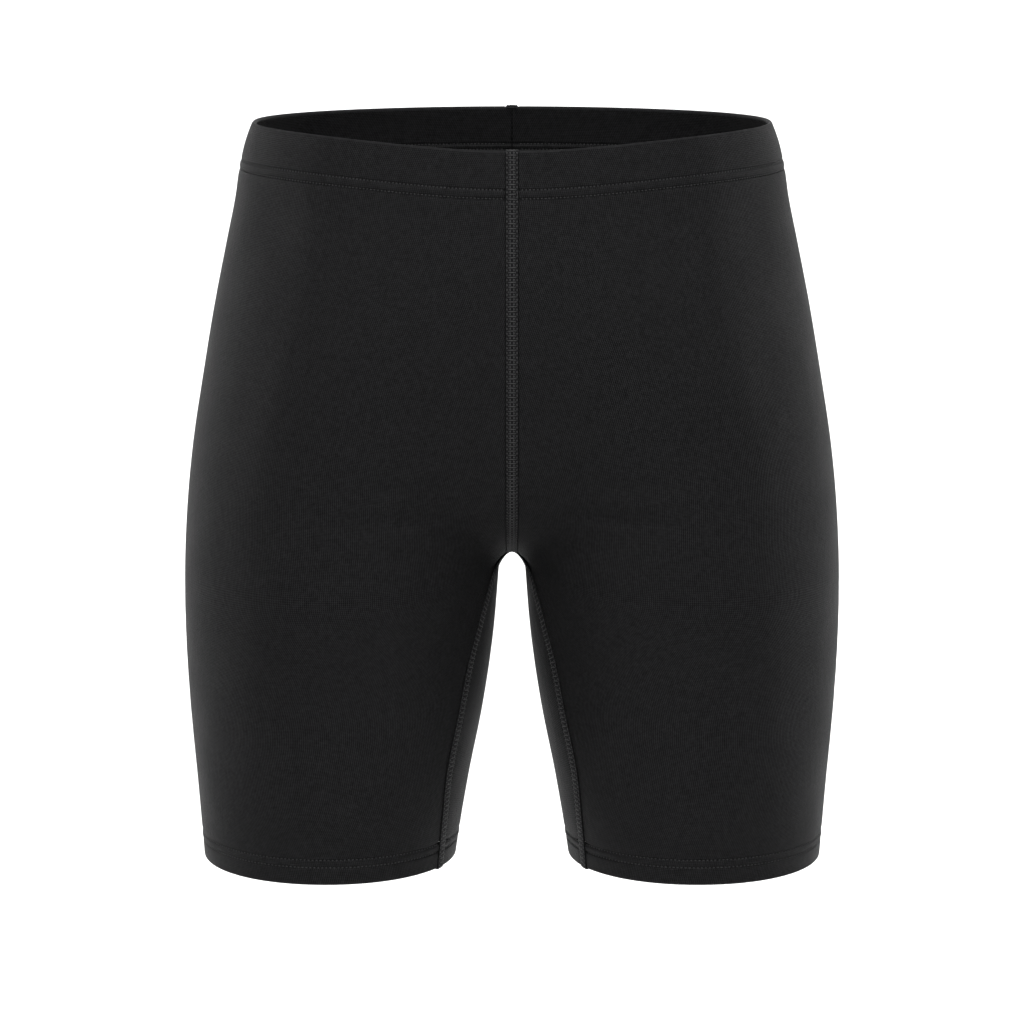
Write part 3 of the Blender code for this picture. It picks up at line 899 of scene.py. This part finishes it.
def thread_material(name):
    """Textured polyester sewing thread: fluffier than the knit, so it looks a shade lighter."""
    s = bpy.context.scene.shorts_finish
    material, tree, shader = new_material(name)
    place = add_node(tree, "ShaderNodeTexCoord")
    fibres = add_node(
        tree,
        "ShaderNodeTexNoise",
        {"Scale": 1 / (0.35 * MM), "Detail": 3.0, "Roughness": 0.6},
        {"Vector": place.outputs["Object"]},
    )
    # Painted shade: the thread's colour goes to the near-black painted hollow shade where the fibre
    # noise is low, the same noise the bump uses. Part of this is a real random fibre tone.
    colour = add_node(
        tree,
        "ShaderNodeMix",
        {6: (*s.painted_hollow_shade, 1), 7: (*s.thread_colour, 1)},
        {0: fibres.outputs["Fac"]},
        data_type="RGBA",
    )
    bump = add_node(
        tree,
        "ShaderNodeBump",
        {"Strength": 0.5, "Distance": 0.1 * MM},
        {"Height": fibres.outputs["Fac"]},
    )
    tree.links.new(colour.outputs[2], shader.inputs["Base Color"])
    tree.links.new(bump.outputs[0], shader.inputs["Normal"])
    shader.inputs["Roughness"].default_value = 0.6
    shader.inputs["IOR"].default_value = 1.5
    shader.inputs["Sheen Weight"].default_value = s.thread_sheen
    shader.inputs["Sheen Roughness"].default_value = 0.5
    shader.inputs["Sheen Tint"].default_value = (1, 1, 1, 1)
    return material


def material_called(name, maker):
    return bpy.data.materials.get(name) or maker(name)


def dress(piece, material, slot, *nodes, smooth_under=None):
    """Gives a piece its finish and its place on the frame, and hides the solids that it stands for."""
    piece.data.materials.append(material)
    if smooth_under is not None:
        bpy.ops.object.select_all(action="DESELECT")
        piece.select_set(True)
        bpy.context.view_layer.objects.active = piece
        bpy.ops.object.shade_smooth_by_angle(angle=math.radians(smooth_under))
        piece.select_set(False)
    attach(piece, "root")
    if nodes:
        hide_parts(*nodes)
    return piece


# What a user would change


class ShortsCloth(bpy.types.PropertyGroup):
    """Thicknesses of the cloth and how far the sewing pulls it in."""

    thickness: bpy.props.FloatProperty(
        name="Knit", description="Wall of the leg panels", default=1.5 * MM, unit="LENGTH"
    )
    band_thickness: bpy.props.FloatProperty(
        name="Waistband",
        description="Two layers of knit over flat elastic",
        default=2.8 * MM,
        unit="LENGTH",
    )
    hem_thickness: bpy.props.FloatProperty(
        name="Hem", description="Two layers of knit", default=2.4 * MM, unit="LENGTH"
    )
    groove_depth: bpy.props.FloatProperty(
        name="Groove depth",
        description="How far a row of sewing pulls the cloth in",
        default=0.75 * MM,
        unit="LENGTH",
    )
    groove_half_width: bpy.props.FloatProperty(
        name="Groove half width", description="Half the groove", default=0.62 * MM, unit="LENGTH"
    )
    swell_between: bpy.props.FloatProperty(
        name="Swell",
        description="How far the cloth stands out between two rows of sewing",
        default=0.16 * MM,
        unit="LENGTH",
    )
    bed_depth: bpy.props.FloatProperty(
        name="Seam bed",
        description="How far the cloth is pulled in under a flat seam",
        default=0.42 * MM,
        unit="LENGTH",
    )
    bed_margin: bpy.props.FloatProperty(
        name="Seam bed margin",
        description="How far the bed runs past the edge of the seam",
        default=1.1 * MM,
        unit="LENGTH",
    )
    seam_clearance: bpy.props.FloatProperty(
        name="Seam clearance",
        description="Space between a flat seam and the cloth under it",
        default=0.1 * MM,
        unit="LENGTH",
    )


class ShortsSewing(bpy.types.PropertyGroup):
    """Sizes of the flat seams and of the twin rows of sewing."""

    seam_width: bpy.props.FloatProperty(
        name="Flat seam", description="Width of a flat seam", default=6.8 * MM, unit="LENGTH"
    )
    seam_height: bpy.props.FloatProperty(
        name="Seam height",
        description="How far a flat seam stands proud of the cloth",
        default=0.75 * MM,
        unit="LENGTH",
    )
    ladder_pitch: bpy.props.FloatProperty(
        name="Ladder pitch",
        description="From one crossing thread of a flat seam to the next",
        default=2.7 * MM,
        unit="LENGTH",
    )
    band_pitch: bpy.props.FloatProperty(
        name="Waistband stitch", description="Length of a stitch", default=2.1 * MM, unit="LENGTH"
    )
    hem_pitch: bpy.props.FloatProperty(
        name="Hem stitch", description="Length of a stitch", default=2.3 * MM, unit="LENGTH"
    )
    thread_width: bpy.props.FloatProperty(
        name="Thread", description="Width of the sewing thread", default=0.55 * MM, unit="LENGTH"
    )
    band_rows: bpy.props.FloatVectorProperty(
        name="Waistband rows",
        description="Millimetres from the folded edge to each row, outside",
        default=(21.6, 26.5),
        size=2,
    )
    band_rows_inside: bpy.props.FloatVectorProperty(
        name="Waistband rows inside",
        description="Millimetres from the folded edge to each row, inside",
        default=(22.4, 25.7),
        size=2,
    )
    hem_rows: bpy.props.FloatVectorProperty(
        name="Hem rows",
        description="Millimetres from the folded edge to each row, outside",
        default=(10.5, 15.0),
        size=2,
    )
    hem_rows_inside: bpy.props.FloatVectorProperty(
        name="Hem rows inside",
        description="Millimetres from the folded edge to each row, inside",
        default=(11.1, 14.3),
        size=2,
    )


class ShortsFinish(bpy.types.PropertyGroup):
    """Colours and textures of the knit and the thread."""

    knit_colour: bpy.props.FloatVectorProperty(
        name="Knit",
        description="Black of the rib tops",
        default=linear("#272728"),
        subtype="COLOR",
        size=3,
    )
    # Painted shade: near-black colour painted into the low parts of the knit's relief and of the
    # thread's fibre noise
    painted_hollow_shade: bpy.props.FloatVectorProperty(
        name="Knit hollows",
        description="Black between the ribs",
        default=linear("#020202"),
        subtype="COLOR",
        size=3,
    )
    thread_colour: bpy.props.FloatVectorProperty(
        name="Thread",
        description="Black of the sewing thread",
        default=linear("#303031"),
        subtype="COLOR",
        size=3,
    )
    wale_spacing: bpy.props.FloatProperty(
        name="Rib spacing",
        description="From rib to rib of the knit, drawn twice as coarse as real so that it shows",
        default=1.1 * MM,
        unit="LENGTH",
    )
    course_spacing: bpy.props.FloatProperty(
        name="Loop spacing",
        description="From loop to loop along a rib, drawn twice as coarse as real",
        default=1.0 * MM,
        unit="LENGTH",
    )
    knit_relief: bpy.props.FloatProperty(
        name="Relief", description="Strength of the knit's relief", default=0.9, min=0, max=1
    )
    roughness: bpy.props.FloatProperty(
        name="Roughness", description="Roughness of the knit", default=0.62, min=0, max=1
    )
    gloss: bpy.props.FloatProperty(
        name="Gloss", description="Specular level of the knit", default=0.05, min=0, max=1
    )
    sheen: bpy.props.FloatProperty(
        name="Sheen", description="Sheen of the knit", default=0.01, min=0, max=1
    )
    sheen_roughness: bpy.props.FloatProperty(
        name="Sheen spread", description="Roughness of the sheen", default=0.35, min=0, max=1
    )
    thread_sheen: bpy.props.FloatProperty(
        name="Thread sheen", description="Sheen of the thread", default=0.02, min=0, max=1
    )


class ShortsStudio(bpy.types.PropertyGroup):
    """The white room, its lights and the camera."""

    room: bpy.props.FloatProperty(
        name="Room light", description="Brightness of the surroundings", default=0.1, min=0
    )
    side_light: bpy.props.FloatProperty(
        name="Side lights", description="Power of each side softbox", default=8.0, unit="POWER"
    )
    slant_light: bpy.props.FloatProperty(
        name="Slanting lights",
        description="Power of each softbox at the front corners",
        default=3.0,
        unit="POWER",
    )
    wall_light: bpy.props.FloatProperty(
        name="Wall lights",
        description="Power of each softbox behind that whitens the wall and the floor",
        default=132.0,
        unit="POWER",
    )
    front_light: bpy.props.FloatProperty(
        name="Front light", description="Power of the softbox in front", default=96.0, unit="POWER"
    )
    top_light: bpy.props.FloatProperty(
        name="Top light", description="Power of the softbox above", default=26.0, unit="POWER"
    )
    floor_colour: bpy.props.FloatVectorProperty(
        name="Floor",
        description="White of the floor and the wall behind",
        default=linear("#FAFAFA"),
        subtype="COLOR",
        size=3,
    )
    floor_level: bpy.props.FloatProperty(
        name="Floor level", description="Height of the floor", default=-1.05, unit="LENGTH"
    )
    camera_distance: bpy.props.FloatProperty(
        name="Camera distance", description="In front of the waist", default=2.8, unit="LENGTH"
    )
    camera_height: bpy.props.FloatProperty(
        name="Camera height", description="Above the waist", default=0.2121, unit="LENGTH"
    )
    camera_pitch: bpy.props.FloatProperty(
        name="Camera pitch",
        description="How far the camera looks down",
        default=math.radians(8.65),
        subtype="ANGLE",
    )
    camera_lens: bpy.props.FloatProperty(
        name="Lens", description="Focal length in millimetres", default=171.67
    )


WORN = {}


def worn(leg):
    """One half's faces, worked out once, and the same form with its own hollows for each leg."""
    if "cloth" not in WORN:
        WORN["cloth"] = worn_cloth()
        WORN["beds"] = beds(WORN["cloth"])
    if leg not in WORN:
        WORN[leg] = layers(WORN["cloth"], leg)
    return WORN["cloth"], WORN[leg]


def seam_faces():
    """The cloth under each flat seam of the left half, by the seam's name."""
    if "seams" not in WORN:
        s = bpy.context.scene.shorts_cloth
        front, back, inside_leg = worn(LEFT)[0].seams
        band_fold, hem_fold = s.band_thickness / 2, s.hem_thickness / 2
        WORN["seams"] = {
            "front": seam_face(rise_line(front), True, top_fold=band_fold),
            "back": seam_face(rise_line(back), True, top_fold=band_fold),
            "inseam": seam_face(inside_leg_line(inside_leg), False, foot_fold=hem_fold),
        }
    return WORN["seams"]


def knit():
    return material_called("warp knit nylon and elastane, black", knit_material)


def thread():
    return material_called("textured polyester thread, black", thread_material)


class SHORTS_OT_leg_panels(bpy.types.Operator):
    """Make the two leg panels of knit, with the hollows of the worn cloth."""

    bl_idname = "shorts.leg_panels"
    bl_label = "Leg Panels"

    def execute(self, context):
        for side, leg in SIDES:
            cloth, faces = worn(leg)
            rows = cloth.panel_rows
            rings = np.concatenate([faces.outer[rows], faces.inner[rows][::-1]])
            flat = flat_cut(faces, rows)
            piece = make_wall(f"panel_{side}", rings.transpose(1, 0, 2), flat, leg)
            dress(piece, knit(), "knit", f"leg_panel_{side}", smooth_under=40)
        return {"FINISHED"}


class SHORTS_OT_waistband(bpy.types.Operator):
    """Make the waistband: the knit turned down over flat elastic, rounded at its top edge."""

    bl_idname = "shorts.waistband"
    bl_label = "Waistband"

    def execute(self, context):
        for side, leg in SIDES:
            cloth, faces = worn(leg)
            outer, inner = faces.outer[cloth.band_rows], faces.inner[cloth.band_rows]
            fold = folded(outer[0], inner[0], outer[0] - outer[1])
            rings = np.concatenate([outer[::-1], fold, inner]).transpose(1, 0, 2)
            flat = flat_cut(faces, cloth.band_rows, folds_at=0)
            piece = make_wall(f"band_{side}", rings, flat, leg)
            dress(piece, knit(), "turned_edge", f"waistband_{side}", smooth_under=40)
        return {"FINISHED"}


class SHORTS_OT_hems(bpy.types.Operator):
    """Make the turned-up hem of each leg, rounded at its lower edge."""

    bl_idname = "shorts.hems"
    bl_label = "Hems"

    def execute(self, context):
        for side, leg in SIDES:
            cloth, faces = worn(leg)
            outer, inner = faces.outer[cloth.hem_rows], faces.inner[cloth.hem_rows]
            fold = folded(outer[-1], inner[-1], outer[-1] - outer[-2])
            rings = np.concatenate([outer, fold, inner[::-1]]).transpose(1, 0, 2)
            flat = flat_cut(faces, cloth.hem_rows, folds_at=-1)
            piece = make_wall(f"hem_edge_{side}", rings, flat, leg)
            dress(piece, knit(), "turned_edge", f"hem_{side}", smooth_under=40)
        return {"FINISHED"}


class SHORTS_OT_flat_seams(bpy.types.Operator):
    """Make the raised strips of the flat seams, round the rise and down each inside leg."""

    bl_idname = "shorts.flat_seams"
    bl_label = "Flat Seams"

    def execute(self, context):
        seams = seam_faces()
        for end in ("front", "back"):
            piece = make_strip(f"rise_strip_{end}", seams[end])
            dress(piece, knit(), "seam_thread", f"rise_seam_{end}", smooth_under=60)
        for side, leg in SIDES:
            piece = make_strip(f"inseam_strip_{side}", seams["inseam"], leg)
            dress(piece, knit(), "seam_thread", f"inseam_{side}", smooth_under=60)
        return {"FINISHED"}


def ladder(seam, lift):
    """Places of the crossing threads of a flat seam, and of the four lines of needle thread."""
    pitch = bpy.context.scene.shorts_sewing.ladder_pitch
    top = seam.base + (heights()[:, None] + lift) * seam.facing
    middle = len(seam.offsets) // 2
    rungs = spots_along(top[:, middle], seam.facing[:, middle], pitch, run=seam.across)
    lines = [
        spots_along(top[:, i], seam.facing[:, i], pitch, shift=0.5, run=seam.run)
        for i in (middle - 3, middle - 1, middle + 1, middle + 3)
    ]
    return rungs, together(*lines)


class SHORTS_OT_ladder_stitches(bpy.types.Operator):
    """Sew the ladder of threads that covers each flat seam."""

    bl_idname = "shorts.ladder_stitches"
    bl_label = "Ladder Stitches"

    def execute(self, context):
        s = context.scene.shorts_sewing
        rung = thread_shape(0.8 * s.seam_width, s.thread_width, 0.34 * MM, 0.16 * MM, 6)
        dash = thread_shape(0.5 * s.ladder_pitch, 1.3 * s.thread_width, 0.42 * MM, 0.05 * MM, 4)
        seams = seam_faces()
        rows = [(f"rise_ladder_{end}", seams[end], LEFT) for end in ("front", "back")]
        rows += [(f"inseam_ladder_{side}", seams["inseam"], leg) for side, leg in SIDES]
        for name, seam, leg in rows:
            rungs, dashes = ladder(seam, 0.04 * MM)
            piece = sew(f"{name}_crossing", rung, rungs, leg)
            dress(piece, thread(), "seam_thread")
            piece = sew(f"{name}_needle", dash, dashes, leg)
            dress(piece, thread(), "seam_thread")
        put_away(rung, dash)
        return {"FINISHED"}


def sewn_rows(faces, rows, at, outside, inside, pitch):
    """Places of the twin rows of stitches on both faces of a turned edge."""
    clear = bpy.context.scene.shorts_sewing.seam_width / 2 + 0.4 * MM
    found = []
    for wanted, points, facing in (
        (outside, faces.outer[rows], faces.facing[rows]),
        (inside, faces.inner[rows], -faces.facing[rows]),
    ):
        for row in wanted:
            i = int(np.argmin(np.abs(at - row * MM)))
            margin = clear if points is faces.outer else 1.0 * MM
            lifted = points[i] + 0.26 * MM * facing[i]
            found.append(spots_along(lifted, facing[i], pitch, max(margin, clear)))
    return together(*found)


class SHORTS_OT_edge_stitches(bpy.types.Operator):
    """Sew the twin rows of stitches round the waistband and round each hem."""

    bl_idname = "shorts.edge_stitches"
    bl_label = "Edge Stitches"

    def execute(self, context):
        s = context.scene.shorts_sewing
        band = thread_shape(0.55 * s.band_pitch, 1.3 * s.thread_width, 0.6 * MM, 0.12 * MM, 4)
        hem = thread_shape(0.55 * s.hem_pitch, 1.3 * s.thread_width, 0.6 * MM, 0.12 * MM, 4)
        for side, leg in SIDES:
            cloth, faces = worn(leg)
            at = faces.from_waist[cloth.band_rows]
            spots = sewn_rows(
                faces, cloth.band_rows, at, s.band_rows, s.band_rows_inside, s.band_pitch
            )
            piece = sew(f"band_stitches_{side}", band, spots, leg)
            dress(piece, thread(), "seam_thread")
            foot = faces.from_waist[cloth.hem_rows][-1] + context.scene.shorts_cloth.hem_thickness / 2
            at = foot - faces.from_waist[cloth.hem_rows]
            spots = sewn_rows(faces, cloth.hem_rows, at, s.hem_rows, s.hem_rows_inside, s.hem_pitch)
            piece = sew(f"hem_stitches_{side}", hem, spots, leg)
            dress(piece, thread(), "seam_thread")
        put_away(band, hem)
        return {"FINISHED"}


class SHORTS_OT_flat_cuts(bpy.types.Operator):
    """Gathers the names of the sewing that goes with each sheet of cloth, and does nothing more with
    them.
    """

    bl_idname = "shorts.flat_cuts"
    bl_label = "Flat Cuts"

    def execute(self, context):
        for side, _ in SIDES:
            sewing = [f"inseam_strip_{side}"]
            sewing += [f"inseam_ladder_{side}_{kind}" for kind in ("crossing", "needle")]
            if side == "left":
                for end in ("front", "back"):
                    sewing.append(f"rise_strip_{end}")
                    sewing += [f"rise_ladder_{end}_{kind}" for kind in ("crossing", "needle")]
        return {"FINISHED"}


class SHORTS_OT_studio(bpy.types.Operator):
    """Make the white room, its soft lights and the camera."""

    bl_idname = "shorts.studio"
    bl_label = "Studio"

    def execute(self, context):
        s = context.scene.shorts_studio
        bpy.ops.object.select_all(action="DESELECT")
        bpy.ops.mesh.primitive_plane_add(size=1, location=(0, 0, 0))
        room = context.active_object
        room.name = "studio_floor"
        bpy.ops.object.mode_set(mode="EDIT")
        bpy.ops.mesh.select_all(action="SELECT")
        bpy.ops.transform.resize(value=(12, 9, 1))
        bpy.ops.transform.translate(value=(0, 0.5, s.floor_level))
        bpy.ops.mesh.select_all(action="DESELECT")
        bpy.ops.mesh.select_mode(type="EDGE")
        bpy.ops.object.mode_set(mode="OBJECT")
        for edge in room.data.edges:
            edge.select = all(room.data.vertices[i].co.y > 4 for i in edge.vertices)
        bpy.ops.object.mode_set(mode="EDIT")
        bpy.ops.mesh.extrude_region_move(TRANSFORM_OT_translate={"value": (0, 0, 5)})
        bpy.ops.mesh.select_all(action="DESELECT")
        bpy.ops.object.mode_set(mode="OBJECT")
        for edge in room.data.edges:
            ends = [room.data.vertices[i].co for i in edge.vertices]
            edge.select = all(e.y > 4 and e.z < s.floor_level + 0.1 for e in ends)
        bpy.ops.object.mode_set(mode="EDIT")
        bpy.ops.mesh.bevel(offset=1.5, segments=16)
        bpy.ops.object.mode_set(mode="OBJECT")
        bpy.ops.object.shade_smooth()
        material, _, shader = new_material("matt white studio floor")
        shader.inputs["Base Color"].default_value = (*s.floor_colour, 1)
        shader.inputs["Roughness"].default_value = 0.9
        shader.inputs["Specular IOR Level"].default_value = 0.1
        room.data.materials.append(material)

        world = bpy.data.worlds.new("white room")
        world.use_nodes = True
        back = world.node_tree.nodes["Background"]
        back.inputs["Color"].default_value = (1, 1, 1, 1)
        back.inputs["Strength"].default_value = s.room
        context.scene.world = world
        context.scene.view_settings.view_transform = "Standard"

        body, wall = (0, 0, -0.2), (0, 4.2, -0.6)
        lights = (
            ("wall_softbox_left", s.wall_light, (-2.6, 1.6, 0.6), (1.2, 1.6), wall),
            ("wall_softbox_right", s.wall_light, (2.6, 1.6, 0.6), (1.2, 1.6), wall),
            ("side_softbox_left", s.side_light, (-1.5, 0.35, 0.1), (0.6, 1.8), body),
            ("side_softbox_right", s.side_light, (1.5, 0.35, 0.1), (0.6, 1.8), body),
            ("slant_softbox_left", s.slant_light, (-1.3, -1.3, 0.3), (0.8, 1.4), body),
            ("slant_softbox_right", s.slant_light, (1.3, -1.3, 0.3), (0.8, 1.4), body),
            ("front_softbox", s.front_light, (0, -2.3, 1.9), (1.4, 1.0), body),
            ("top_softbox", s.top_light, (0, -0.4, 2.2), (1.6, 1.6), body),
        )
        for name, power, place, size, target in lights:
            bpy.ops.object.select_all(action="DESELECT")
            aim = mathutils.Vector(target) - mathutils.Vector(place)
            bpy.ops.object.light_add(
                type="AREA", location=place, rotation=aim.to_track_quat("-Z", "Y").to_euler()
            )
            lamp = context.active_object
            lamp.name = name
            lamp.data.shape = "RECTANGLE"
            lamp.data.size, lamp.data.size_y = size
            lamp.data.energy = power
            lamp.visible_camera = False

        bpy.ops.object.camera_add(
            location=(0, -s.camera_distance, s.camera_height),
            rotation=(math.pi / 2 - s.camera_pitch, 0, 0),
        )
        camera = context.active_object
        camera.data.lens = s.camera_lens
        camera.data.sensor_width = 36
        camera.data.sensor_fit = "HORIZONTAL"
        camera.data.clip_end = 30
        context.scene.camera = camera
        return {"FINISHED"}


class SHORTS_PT_sidebar(bpy.types.Panel):
    """Lists the sizes, the finishes and the steps of the making."""

    bl_idname = "SHORTS_PT_sidebar"
    bl_label = "Cycling Shorts"
    bl_space_type = "VIEW_3D"
    bl_region_type = "UI"
    bl_category = "Shorts"

    def draw(self, context):
        for group in GROUPS:
            box = self.layout.box()
            box.label(text=group.__name__.removeprefix("Shorts"))
            settings = getattr(context.scene, GROUPS[group])
            for name in group.__annotations__:
                box.prop(settings, name)
        for step in STEPS:
            self.layout.operator(step.bl_idname)


GROUPS = {
    ShortsCloth: "shorts_cloth",
    ShortsSewing: "shorts_sewing",
    ShortsFinish: "shorts_finish",
    ShortsStudio: "shorts_studio",
}
STEPS = (
    SHORTS_OT_studio,
    SHORTS_OT_leg_panels,
    SHORTS_OT_waistband,
    SHORTS_OT_hems,
    SHORTS_OT_flat_seams,
    SHORTS_OT_ladder_stitches,
    SHORTS_OT_edge_stitches,
    SHORTS_OT_flat_cuts,
)


def register():
    for cls in (*GROUPS, *STEPS, SHORTS_PT_sidebar):
        bpy.utils.register_class(cls)
    for group, name in GROUPS.items():
        setattr(bpy.types.Scene, name, bpy.props.PointerProperty(type=group))


def unregister():
    for name in GROUPS.values():
        delattr(bpy.types.Scene, name)
    for cls in (SHORTS_PT_sidebar, *reversed(STEPS), *reversed(list(GROUPS))):
        bpy.utils.unregister_class(cls)


def main():
    register()
    bpy.ops.shorts.studio()
    bpy.ops.shorts.leg_panels()
    bpy.ops.shorts.waistband()
    bpy.ops.shorts.hems()
    bpy.ops.shorts.flat_seams()
    bpy.ops.shorts.ladder_stitches()
    bpy.ops.shorts.edge_stitches()
    bpy.ops.shorts.flat_cuts()


if __name__ == "__main__":
    main()
